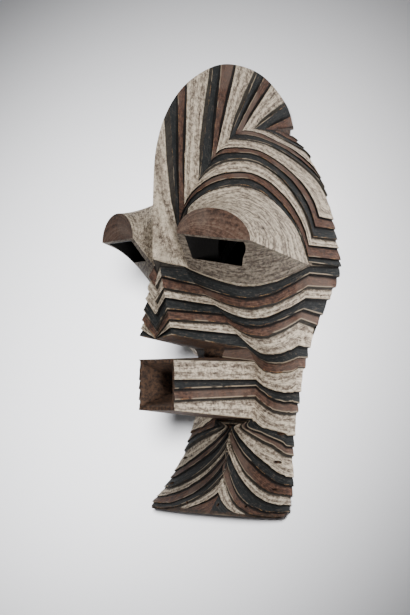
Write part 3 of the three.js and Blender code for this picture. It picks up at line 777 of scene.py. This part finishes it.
def eye(drop):
    """An eye: a half tube that comes forward from the carved lens to a D-shaped visor"""
    facets = EYE_FACETS
    middle = (EYE_INNER + EYE_OUTER) / 2
    half = (EYE_OUTER - EYE_INNER) / 2
    visor = []
    lens = []
    for i in range(facets + 1):
        visor.append(sill_point(mix(EYE_INNER, EYE_OUTER, i / facets), drop))
        degrees = mix(LENS_START, TEMPLE_ANGLE - 1, i / facets)
        lens.append(head_point(degrees, face_height(FACE_LIMITS[0], degrees) + EYE_MARGIN))
    for i in range(1, facets):
        turn = math.pi * i / facets
        point = sill_point(middle + half * math.cos(turn), drop)
        point.z += EYE_VISOR_HEIGHT * math.sin(turn)
        visor.append(point)
        degrees = mix(LENS_START, TEMPLE_ANGLE - 1, 1 - i / facets)
        lens.append(head_point(degrees, crown_height(CROWN_LIMITS[-1], degrees) - EYE_MARGIN))
    rings = []
    for s in range(EYE_STATIONS + 1):
        t = s / EYE_STATIONS
        ring = []
        for i, (front, back) in enumerate(zip(visor, lens)):
            widened = (4 * EYE_WAIST - 1) * t + (2 - 4 * EYE_WAIST) * t * t if i > facets else t
            point = front.lerp(back, widened)
            point.y = mix(front.y, back.y, t)
            ring.append(point)
        rings.append(ring)
    rings.append([point + EYE_ROOT for point in lens])

    def paint(stations, arounds):
        if stations == {0}:
            return VISOR, FAR_REACH
        if max(arounds) <= facets:
            # Worn clay darkened partly as painted shade under the visor
            return LOWER_LID_SHADED, FAR_REACH
        return PIGMENT_COLORS["kaolin"], FAR_REACH

    return loft(rings, paint)


def eye_slot(drop):
    """The slot under a visor, which follows the lower lid and widens into the hollow"""
    top_left = sill_point(EYE_INNER + EYE_SLOT_INSET, drop)
    top_right = sill_point(EYE_OUTER - EYE_SLOT_INSET, drop)
    low_left = top_left + Vector((-EYE_SLOT_LEAN, EYE_SLOT_BACK, -EYE_SLOT_HEIGHT))
    low_right = top_right + Vector((-EYE_SLOT_SLANT, EYE_SLOT_SLANT, -EYE_SLOT_HEIGHT))
    rings = []
    for distance in (EYE_SLOT_START, EYE_WALL):
        straight = Vector((0, distance, 0))
        slanted = EYE_SLOT_OUTWARD * distance
        ring = [low_left + straight, low_right + slanted, top_right + slanted, top_left + straight]
        rings.append([point - Vector((0, 0, EYE_SLOT_EDGE)) for point in ring])
    rings.append(rectangle(EYE_INNER + EYE_WALL, EYE_OUTER - EYE_SLOT_TAPER,
                           EYE_SILL - EYE_ROOM_BELOW, EYE_SILL + EYE_ROOM_ABOVE, EYE_ROOM_DEPTH))
    # The slot walls are charcoal, and the near-black layer makes them darker still: painted shade inside
    # the slot
    return loft(rings, lambda stations, arounds: (PIGMENT_COLORS["charcoal"], 0.0))


def mouth_cuts():
    """The mouth's funnel with the hole at its end, and the hollow behind it"""
    half = MOUTH_WIDTH / 2
    center = (MOUTH_TOP + MOUTH_BOTTOM) / 2
    depth = MOUTH_FRONT + MOUTH_FUNNEL_DEPTH

    def hole(at):
        return rectangle(-MOUTH_HOLE_WIDTH / 2, MOUTH_HOLE_WIDTH / 2,
                         center - MOUTH_HOLE_HEIGHT / 2, center + MOUTH_HOLE_HEIGHT / 2, at)

    funnel = loft([
        rectangle(-half + MOUTH_LIP, half - MOUTH_LIP, MOUTH_BOTTOM + MOUTH_LIP, MOUTH_TOP - MOUTH_LIP,
                  MOUTH_FRONT - 1),
        hole(depth),
        hole(depth + 2 * MOUTH_WALL),
    ])
    sides = (-half + MOUTH_WALL, half - MOUTH_WALL, MOUTH_BOTTOM + MOUTH_WALL, MOUTH_TOP - MOUTH_WALL)
    room = loft([rectangle(*sides, depth + MOUTH_WALL), rectangle(*sides, HOLLOW_REACH)])
    return [funnel, room]


def nose_cut():
    """The hollow inside the nose"""
    floor = NOSE_BOTTOM + WALL
    half = NOSE_TIP_WIDTH / 2
    return loft([
        rectangle(-half + NOSE_WALL, half - NOSE_WALL, floor, floor + NOSE_ROOM_FRONT_HEIGHT,
                  NOSE_FRONT_WALL),
        rectangle(-half, half, floor, floor + NOSE_ROOM_BACK_HEIGHT, HOLLOW_REACH),
    ])


def tip_notch():
    """The notch under the crest's rear tip"""
    half = TIP_NOTCH_WIDTH / 2
    depths = (TIP_NOTCH_DEPTH, TIP_NOTCH_DEPTH + TIP_NOTCH_WIDTH)
    return loft([rectangle(-half, half, TIP_NOTCH_LOW, TIP_NOTCH_HIGH, depth) for depth in depths])


def tie_holes():
    """Holes along the edge that the costume is tied to"""
    holes = []
    for x in TIE_HOLE_PLACES:
        place = Matrix.Translation((x, rim_depth(TIE_HOLE_INSET) - WALL, TIE_HOLE_INSET))
        holes.append(drill(4 * WALL, place @ Matrix.Rotation(math.pi / 2, 4, "X")))
    for z in TIE_HOLE_HEIGHTS:
        place = Matrix.Translation((0, rim_depth(z) - TIE_HOLE_INSET, z))
        length = 2 * through(HALF_WIDTHS, z) + TIE_HOLE_CLEARANCE
        holes.append(drill(length, place @ Matrix.Rotation(math.pi / 2, 4, "Y")))
    return holes


def drill(length, place):
    bm = bmesh.new()
    radius = TIE_HOLE_SIZE / 2
    bmesh.ops.create_cone(bm, cap_ends=True, segments=TIE_HOLE_FACETS, radius1=radius, radius2=radius,
                          depth=length, matrix=place)
    return bm


def mirrored(bm):
    bmesh.ops.scale(bm, vec=(-1, 1, 1), verts=bm.verts)
    bmesh.ops.reverse_faces(bm, faces=bm.faces)
    return bm


def block(bm, name):
    """A bmesh as an object of the scene"""
    bmesh.ops.triangulate(bm, faces=[face for face in bm.faces if len(face.verts) > 4])
    bmesh.ops.recalc_face_normals(bm, faces=bm.faces)
    mesh = bpy.data.meshes.new(name)
    bm.to_mesh(mesh)
    bm.free()
    thing = bpy.data.objects.new(name, mesh)
    bpy.context.scene.collection.objects.link(thing)
    return thing


def carve(thing, tools):
    """Joins and cuts an object with others, which are then removed"""
    for operation, bm in tools:
        cutter = block(bm, "cutter")
        modifier = thing.modifiers.new("carve", "BOOLEAN")
        modifier.object = cutter
        modifier.operation = operation
        modifier.solver = "MANIFOLD"
        graph = bpy.context.evaluated_depsgraph_get()
        result = bpy.data.meshes.new_from_object(
            thing.evaluated_get(graph), preserve_all_data_layers=True, depsgraph=graph)
        thing.modifiers.clear()
        old = thing.data
        thing.data = result
        bpy.data.meshes.remove(old)
        bpy.data.meshes.remove(cutter.data)


def node(tree, kind, links=None, output=0, **settings):
    """Adds a node with its settings, socket values and links, and gives one of its outputs"""
    added = tree.nodes.new("ShaderNode" + kind)
    for name, value in settings.items():
        setattr(added, name, value)
    for socket, value in (links or {}).items():
        if isinstance(value, bpy.types.NodeSocket):
            tree.links.new(value, added.inputs[socket])
        else:
            added.inputs[socket].default_value = value
    return added.outputs[output] if added.outputs else None


def new_material(name):
    material = bpy.data.materials.new(name)
    material.use_nodes = True
    material.node_tree.nodes.clear()
    return material


def paint_patterns(tree):
    """Streaks left by brush and knife along a band, crumbled patches, a speckle and a slow change"""
    carving = node(tree, "Attribute", attribute_name="carving")
    along = node(tree, "SeparateColor", {0: carving}, 0)
    run = node(tree, "Math", {0: along, 1: STREAKS_ALONG}, operation="MULTIPLY")
    width = node(tree, "Math", {0: carving.node.outputs["Alpha"], 1: STREAKS_ACROSS}, operation="MULTIPLY")
    stretched = node(tree, "CombineXYZ", {0: run, 1: width})
    streak = node(tree, "TexNoise", {"Vector": stretched, "Scale": 1.0, "Detail": 5.0, "Roughness": 0.7})
    here = node(tree, "TexCoord", output="Object")
    spots = [
        node(tree, "TexNoise", {"Vector": here, "Scale": scale, "Detail": detail, "Roughness": 0.65})
        for scale, detail in ((PATCHES, 5.0), (SPECKLES, 3.0), (DRIFTS, 3.0))]
    return streak, *spots


def coat_color(tree, ground, layers):
    """Color of one coat: its ground with further colors laid over it where a pattern is high"""
    color = linear(ground)
    for pattern, low, high, most, shade in layers:
        share = node(tree, "MapRange", {0: pattern, 1: low, 2: high, 3: 0.0, 4: most},
                     interpolation_type="SMOOTHSTEP")
        color = node(tree, "Mix", {0: share, 6: color, 7: linear(shade)}, 2, data_type="RGBA")
    return color


def color_with_wear_and_painted_light(tree, color, painted, wear_and_painted_light):
    """The paint's color with each kind of wear, painted highlight and painted shade laid over it, where all
    its spans are high
    """
    for coat, spans in wear_and_painted_light:
        share = painted
        for pattern, low, high, first, last in spans:
            span = node(tree, "MapRange", {0: pattern, 1: low, 2: high, 3: first, 4: last},
                        interpolation_type="SMOOTHSTEP")
            share = node(tree, "Math", {0: share, 1: span}, operation="MULTIPLY")
        color = node(tree, "Mix", {0: share, 6: color, 7: coat}, 2, data_type="RGBA")
    return color


def painted_wood(settings):
    """Earth paints brushed on carved hardwood: matt, streaked along the bands, worn off the lips"""
    material = new_material("earth_paint_on_carved_wood")
    tree = material.node_tree
    pigment = node(tree, "Attribute", attribute_name="pigment")
    carving = node(tree, "Attribute", attribute_name="carving")
    reach = carving.node.outputs["Alpha"]
    red, coal, clay = (node(tree, "SeparateColor", {0: pigment}, i) for i in range(3))
    across, lip = (node(tree, "SeparateColor", {0: carving}, i) for i in (1, 2))
    streak, patch, speckle, drift = paint_patterns(tree)

    # Crumbling of a coat, mostly along the streaks
    crumble = node(tree, "Math", {0: patch, 1: 0.8, 2: streak}, operation="MULTIPLY_ADD")
    crumble = node(tree, "Math", {0: speckle, 1: 0.2, 2: crumble}, operation="MULTIPLY_ADD")
    # White clay is thick on the ridges of a band and thin in its two flutes; the paler ridges and darker
    # flutes are also painted highlight and painted shade
    flute = node(tree, "Math", {0: across, 1: 0.08}, operation="SUBTRACT")
    flute = node(tree, "Math", {0: flute, 1: 0.215}, operation="PINGPONG")
    ridge_highlight_and_flute_shade = node(tree, "MapRange", {0: flute, 1: 0.0, 2: 0.2, 3: 0.1, 4: -0.03},
                 interpolation_type="SMOOTHSTEP")
    clay_thickness_and_shade = node(tree, "Math", {0: crumble, 1: ridge_highlight_and_flute_shade}, operation="ADD")

    color = coat_color(tree, "#2B201A", [(patch, 0.35, 0.65, 1.0, settings.wood)])
    coats = (
        (red, "#33251F", [(crumble, 0.86, 1.1, 1.0, settings.red_ochre),
                          (drift, 0.45, 0.65, 0.6, "#6A5A50"),
                          (crumble, 1.08, 1.24, 0.6, "#7C6A5B")]),
        (coal, "#121414", [(crumble, 0.85, 1.15, 1.0, settings.charcoal),
                           (crumble, 1.08, 1.2, 0.7, "#5A4C41")]),
        # Clay darker where thin and paler where thick: also painted shade in the flutes and painted
        # highlight on the ridges
        (clay, "#3A3028", [(clay_thickness_and_shade, 0.8, 0.9, 1.0, "#75675A"),
                           (clay_thickness_and_shade, 0.9, 1.2, 1.0, settings.kaolin)]),
    )
    painted = 0.0
    for share, ground, layers in coats:
        coat = coat_color(tree, ground, layers)
        color = node(tree, "Mix", {0: share, 6: color, 7: coat}, 2, data_type="RGBA")
        painted = node(tree, "Math", {0: painted, 1: share}, operation="ADD")
    # Lips worn to the yellow wood, a pale painted highlight along the lip edges, and near black in the cuts
    # under each lip and inside the slots: dirt and painted shade
    ochre = coat_color(tree, "#6B4A30", [(speckle, 0.4, 0.65, 1.0, "#B08A58")])
    color = color_with_wear_and_painted_light(tree, color, painted, (
        (ochre, [(lip, 0.0006, 0.0016, 1.0, 0.0), (streak, 0.5, 0.6, 0.0, 0.8)]),
        # A pale line along the lip edges: painted highlight
        (linear("#A3947F"), [(lip, 0.0008, 0.002, 1.0, 0.0), (drift, 0.5, 0.56, 0.0, 0.7)]),
        # Near black where a band starts under the lip above, and inside the slots: dirt and painted shade
        (linear("#0E0B09"), [(reach, 0.0012, 0.0042, 0.95, 0.0)]),
    ))

    # Coarse relief of the paint, its fine grain, and the sheen where it is rubbed
    relief = node(tree, "Math", {0: streak, 1: 0.7}, operation="MULTIPLY")
    relief = node(tree, "Math", {0: patch, 1: 0.5, 2: relief}, operation="MULTIPLY_ADD")
    coarse = node(tree, "Bump", {"Strength": 0.8, "Distance": 0.0016, "Height": relief})
    fine = node(tree, "Bump", {"Strength": 0.4, "Distance": 0.0005, "Height": speckle, "Normal": coarse})
    sheen = node(tree, "MapRange", {0: patch, 1: 0.3, 2: 0.7, 3: 0.62, 4: 0.86},
                 interpolation_type="SMOOTHSTEP")
    shader = node(tree, "BsdfPrincipled", {
        "Base Color": color, "Roughness": sheen, "Normal": fine, "Specular IOR Level": 0.3})
    node(tree, "OutputMaterial", {0: shader})
    return material


def plain_material(name, hex_color, roughness, specular):
    material = new_material(name)
    shader = node(material.node_tree, "BsdfPrincipled", {
        "Base Color": linear(hex_color), "Roughness": roughness, "Specular IOR Level": specular})
    node(material.node_tree, "OutputMaterial", {0: shader})
    return material


class KIFWEBE_OT_mask(bpy.types.Operator):
    """Carves the mask, paints it and lays it on its back rim"""

    bl_idname = "kifwebe.mask"
    bl_label = "Carve the mask"

    def execute(self, context):
        settings = context.scene.kifwebe
        mask = block(carved_skin(settings), "carved_mask")
        added = [eye(EYE_DROP_RIGHT), mirrored(eye(EYE_DROP_LEFT))]
        cut = [hollow(), eye_slot(EYE_DROP_RIGHT), mirrored(eye_slot(EYE_DROP_LEFT))]
        cut += mouth_cuts() + [nose_cut(), tip_notch()] + tie_holes()
        carve(mask, [("UNION", bm) for bm in added] + [("DIFFERENCE", bm) for bm in cut])
        lay = Matrix.Diagonal((MM, MM, MM, 1)) @ Matrix.Translation(LAID_SHIFT)
        mask.data.transform(lay @ Matrix.Rotation(-(math.pi / 2 - LEAN), 4, "X"))
        mask.data.shade_smooth()
        mask.data.set_sharp_from_angle(angle=math.radians(SHARP_ANGLE))
        mask.data.materials.clear()
        mask.data.materials.append(painted_wood(settings))
        bpy.data.collections[MASK_ONLY].objects.link(mask)
        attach(mask, "root")
        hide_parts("mask")
        return {"FINISHED"}


def turned(direction):
    """A direction of the standing mask, laid down"""
    return Matrix.Rotation(-(math.pi / 2 - LEAN), 3, "X") @ direction


def camera_turn():
    """How the camera is turned: its right, its up and the way toward it, as columns"""
    azimuth, elevation = math.radians(CAMERA_AZIMUTH), math.radians(CAMERA_ELEVATION)
    right = Vector((math.cos(azimuth), math.sin(azimuth), 0))
    toward = Vector((math.sin(azimuth) * math.cos(elevation), -math.cos(azimuth) * math.cos(elevation),
                     math.sin(elevation)))
    return Matrix([turned(axis) for axis in (right, toward.cross(right), toward)]).transposed()


def add_camera(scene, place, turn):
    data = bpy.data.cameras.new("camera")
    data.sensor_fit = "VERTICAL"
    data.sensor_height = SENSOR
    data.lens = CAMERA_LENS
    camera = bpy.data.objects.new("camera", data)
    scene.collection.objects.link(camera)
    camera.matrix_world = Matrix.Translation(place) @ turn.to_4x4()
    scene.camera = camera


def add_floor(settings):
    bm = bmesh.new()
    bmesh.ops.create_grid(bm, x_segments=2, y_segments=2, size=FLOOR_REACH)
    bmesh.ops.translate(bm, verts=bm.verts, vec=(0, 0, -FLOOR_GAP))
    floor = block(bm, "floor")
    # Matt background paper: a pale even ground that fades into its own light
    floor.data.materials.append(plain_material("pale_studio_paper", settings.floor, 0.9, 0.1))
    return floor


def add_shade_felt():
    """Black felt under the hollow, a painted shade so that no pale paper shows through the eye slots"""
    bm = bmesh.new()
    bmesh.ops.create_circle(bm, cap_ends=True, segments=FELT_FACETS, radius=1.0)
    bmesh.ops.scale(bm, verts=bm.verts, vec=FELT_REACH)
    bmesh.ops.translate(bm, verts=bm.verts, vec=FELT_PLACE)
    shade_felt = block(bm, "shade_felt")
    # Black wool felt, a painted shade: it swallows the light that falls through the slots
    shade_felt.data.materials.append(plain_material("black_felt_painted_shade", SHADE_FELT_COLOR, 1.0, 0.5))


def add_spot(name, lamp, aim, place, lit):
    """A soft studio lamp of a power, cone and radius, flagged off all but one thing"""
    power, cone, radius = lamp
    data = bpy.data.lights.new(name, "SPOT")
    data.energy = power
    data.spot_size = math.radians(cone)
    data.spot_blend = 1.0
    data.shadow_soft_size = radius
    spot = bpy.data.objects.new(name, data)
    bpy.context.scene.collection.objects.link(spot)
    aimed = (place - aim).to_track_quat("Z", "Y").to_matrix().to_4x4()
    spot.matrix_world = Matrix.Translation(place) @ aimed
    spot.light_linking.receiver_collection = lit


def add_lamps(camera_place, turn, floor):
    """Flags keep the mask's lamps off the paper behind it, and the paper's lamp off the mask"""
    flagged = bpy.data.collections.new(MASK_ONLY)
    paper = bpy.data.collections.new(PAPER_ONLY)
    paper.objects.link(floor)
    target = laid(CAMERA_TARGET)
    for name, (*lamp, offset) in CAMERA_LAMPS.items():
        add_spot(name, lamp, target, target + turn @ Vector(offset), flagged)
    for name, (*lamp, offset) in FLOOR_LAMPS.items():
        add_spot(name, lamp, target, target + Vector(offset), flagged)
    add_spot("floor glow", GLOW, GLOW_AIM, camera_place + turn @ Vector(GLOW_PLACE), paper)


def add_world(scene):
    """A dim even light from all sides, as in a bright room"""
    world = bpy.data.worlds.new("studio")
    world.use_nodes = True
    backdrop = world.node_tree.nodes["Background"]
    backdrop.inputs[0].default_value = linear(WORLD_COLOR)
    backdrop.inputs[1].default_value = WORLD_STRENGTH
    scene.world = world


class KIFWEBE_OT_stage(bpy.types.Operator):
    """Lays the floor and sets the lights and the camera"""

    bl_idname = "kifwebe.stage"
    bl_label = "Set the stage"

    def execute(self, context):
        turn = camera_turn()
        camera_place = laid(CAMERA_TARGET) + turn @ Vector((0, 0, CAMERA_DISTANCE * MM))
        add_camera(context.scene, camera_place, turn)
        floor = add_floor(context.scene.kifwebe)
        add_shade_felt()
        add_lamps(camera_place, turn, floor)
        add_world(context.scene)
        return {"FINISHED"}


class KIFWEBE_PT_panel(bpy.types.Panel):
    """The mask's sizes and colours, and its operators"""

    bl_idname = "KIFWEBE_PT_panel"
    bl_label = "Kifwebe mask"
    bl_space_type = "VIEW_3D"
    bl_region_type = "UI"
    bl_category = "Mask"

    def draw(self, context):
        settings = context.scene.kifwebe
        for name in MaskSettings.__annotations__:
            self.layout.prop(settings, name)
        self.layout.operator(KIFWEBE_OT_mask.bl_idname)
        self.layout.operator(KIFWEBE_OT_stage.bl_idname)


CLASSES = (MaskSettings, KIFWEBE_OT_mask, KIFWEBE_OT_stage, KIFWEBE_PT_panel)


def register():
    for cls in CLASSES:
        bpy.utils.register_class(cls)
    bpy.types.Scene.kifwebe = bpy.props.PointerProperty(type=MaskSettings)


def unregister():
    del bpy.types.Scene.kifwebe
    for cls in reversed(CLASSES):
        bpy.utils.unregister_class(cls)


def main():
    register()
    bpy.ops.kifwebe.stage()
    bpy.ops.kifwebe.mask()


if __name__ == "__main__":
    main()
